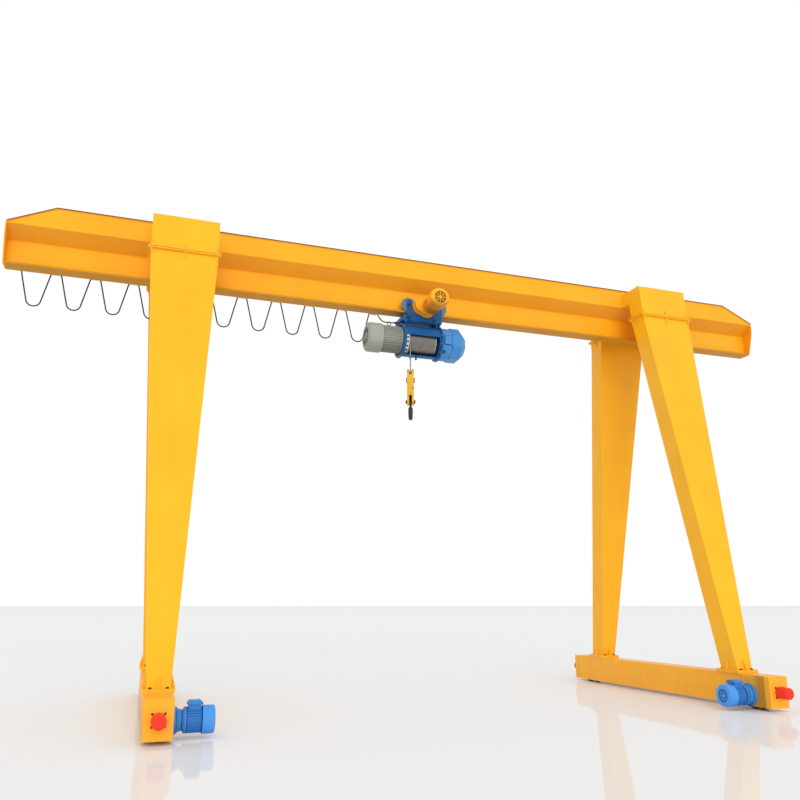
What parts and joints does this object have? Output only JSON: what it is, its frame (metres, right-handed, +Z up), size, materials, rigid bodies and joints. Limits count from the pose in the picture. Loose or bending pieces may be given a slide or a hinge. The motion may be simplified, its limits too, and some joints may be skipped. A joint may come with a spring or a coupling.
{
  "type": "gantry crane",
  "caption": "Rail-travelling gantry crane: box girder on tapered A-frame legs and wheeled carriages, with an under-slung wire-rope hoist trolley and looped cable.",
  "frame": {"origin": "on the floor under the middle of the girder", "axes": "+X along the girder to the right, +Y the way the crane travels, away from the front, +Z up"},
  "size_m": [10, 4.146, 5.38],
  "materials": {
    "yellow_paint": "semi-gloss paint",
    "blue_paint": "semi-gloss paint",
    "grey_paint": "satin paint",
    "red_rubber": "satin",
    "bright_steel": "bare",
    "zinc_steel": "galvanised",
    "black_cable": "matte",
    "dark_steel": "dark oiled"
  },
  "bodies": {
    "gantry": {"bracket_front_left": "yellow_paint", "bracket_front_right": "yellow_paint", "bracket_rear_left": "yellow_paint", "bracket_rear_right": "yellow_paint", "buffers": "red_rubber", "cable_carriers": "zinc_steel", "cable_end_clamp": "zinc_steel", "cable_track": "zinc_steel", "carriage_left": "yellow_paint", "carriage_right": "yellow_paint", "girder_end_plate_left": "yellow_paint", "girder_end_plate_right": "yellow_paint", "girder_flange": "yellow_paint", "girder_front_plate": "yellow_paint", "girder_rear_plate": "yellow_paint", "girder_top_plate": "yellow_paint", "girder_web": "yellow_paint", "leg_front_left": "yellow_paint", "leg_front_right": "yellow_paint", "leg_rear_left": "yellow_paint", "leg_rear_right": "yellow_paint", "looped_cable": "black_cable", "track_hangers": "zinc_steel", "travel_motor_left": "blue_paint", "travel_motor_right": "blue_paint", "travel_reducer_left": "blue_paint", "travel_reducer_right": "blue_paint"},
    "trolley": {"cable_gland": "black_cable", "cable_tow_arm": "zinc_steel", "hoist_fan_cover": "grey_paint", "hoist_gearbox": "blue_paint", "hoist_hanger": "blue_paint", "hoist_motor": "grey_paint", "hoist_rope": "bright_steel", "hoist_shell": "blue_paint", "rope_anchor": "dark_steel", "rope_guide": "bright_steel", "trolley_gear_case": "yellow_paint", "trolley_motor": "yellow_paint", "trolley_plate_front": "blue_paint", "trolley_plate_rear": "blue_paint", "trolley_tie_rods": "dark_steel"},
    "wheel_front_left": {"wheel_front_left": "dark_steel"},
    "wheel_front_right": {"wheel_front_right": "dark_steel"},
    "wheel_rear_left": {"wheel_rear_left": "dark_steel"},
    "wheel_rear_right": {"wheel_rear_right": "dark_steel"},
    "trolley_wheel_front_left": {"trolley_wheel_front_left": "blue_paint"},
    "trolley_wheel_front_right": {"trolley_wheel_front_right": "blue_paint"},
    "trolley_wheel_rear_left": {"trolley_wheel_rear_left": "blue_paint"},
    "trolley_wheel_rear_right": {"trolley_wheel_rear_right": "blue_paint"},
    "drum": {"hoist_drum": "bright_steel"},
    "hook_block": {"hook_block": "yellow_paint", "sheave_pin": "dark_steel", "hook_crosshead": "dark_steel"},
    "sheave": {"sheave": "dark_steel"},
    "hook": {"hook": "dark_steel"}
  },
  "joints": [
    {"name": "wheel_front_left_roll", "type": "hinge", "parent": "gantry", "child": "wheel_front_left", "pos_m": [-3.13, -1.62, 0.148], "axis": [1, 0, 0], "continuous": true},
    {"name": "wheel_front_right_roll", "type": "hinge", "parent": "gantry", "child": "wheel_front_right", "pos_m": [3.13, -1.62, 0.148], "axis": [1, 0, 0], "continuous": true},
    {"name": "wheel_rear_left_roll", "type": "hinge", "parent": "gantry", "child": "wheel_rear_left", "pos_m": [-3.13, 1.62, 0.148], "axis": [1, 0, 0], "continuous": true},
    {"name": "wheel_rear_right_roll", "type": "hinge", "parent": "gantry", "child": "wheel_rear_right", "pos_m": [3.13, 1.62, 0.148], "axis": [1, 0, 0], "continuous": true},
    {"name": "trolley_travel", "type": "slide", "parent": "gantry", "child": "trolley", "axis": [1, 0, 0], "range_m": [-1.75, 2.2], "deforming": ["looped_cable", "cable_carriers"]},
    {"name": "trolley_wheel_front_left_roll", "type": "hinge", "parent": "trolley", "child": "trolley_wheel_front_left", "pos_m": [-0.36, -0.07, 4.7953], "axis": [0, 1, 0], "continuous": true},
    {"name": "trolley_wheel_front_right_roll", "type": "hinge", "parent": "trolley", "child": "trolley_wheel_front_right", "pos_m": [0.06, -0.07, 4.7953], "axis": [0, 1, 0], "continuous": true},
    {"name": "trolley_wheel_rear_left_roll", "type": "hinge", "parent": "trolley", "child": "trolley_wheel_rear_left", "pos_m": [-0.36, 0.07, 4.7953], "axis": [0, 1, 0], "continuous": true},
    {"name": "trolley_wheel_rear_right_roll", "type": "hinge", "parent": "trolley", "child": "trolley_wheel_rear_right", "pos_m": [0.06, 0.07, 4.7953], "axis": [0, 1, 0], "continuous": true},
    {"name": "hook_lift", "type": "slide", "parent": "trolley", "child": "hook_block", "axis": [0, 0, 1], "range_m": [-3.25, 0.1], "deforming": ["hoist_rope"]},
    {"name": "drum_turn", "type": "hinge", "parent": "trolley", "child": "drum", "pos_m": [-0.168, 0, 4.35], "axis": [1, 0, 0], "continuous": true},
    {"name": "sheave_turn", "type": "hinge", "parent": "hook_block", "child": "sheave", "pos_m": [-0.299, 0, 3.836], "axis": [0.9397, -0.342, 0], "continuous": true},
    {"name": "hook_swivel", "type": "hinge", "parent": "hook_block", "child": "hook", "pos_m": [-0.299, 0, 3.556], "axis": [0, 0, 1], "continuous": true}
  ],
  "couplings": [
    {"joint": "trolley_wheel_front_left_roll", "follows": "trolley_travel", "rad_per_m": 13.333},
    {"joint": "trolley_wheel_front_right_roll", "follows": "trolley_travel", "rad_per_m": 13.333},
    {"joint": "trolley_wheel_rear_left_roll", "follows": "trolley_travel", "rad_per_m": 13.333},
    {"joint": "trolley_wheel_rear_right_roll", "follows": "trolley_travel", "rad_per_m": 13.333},
    {"joint": "drum_turn", "follows": "hook_lift", "rad_per_m": -12.682},
    {"joint": "sheave_turn", "follows": "hook_lift", "rad_per_m": -9.2593}
  ]
}
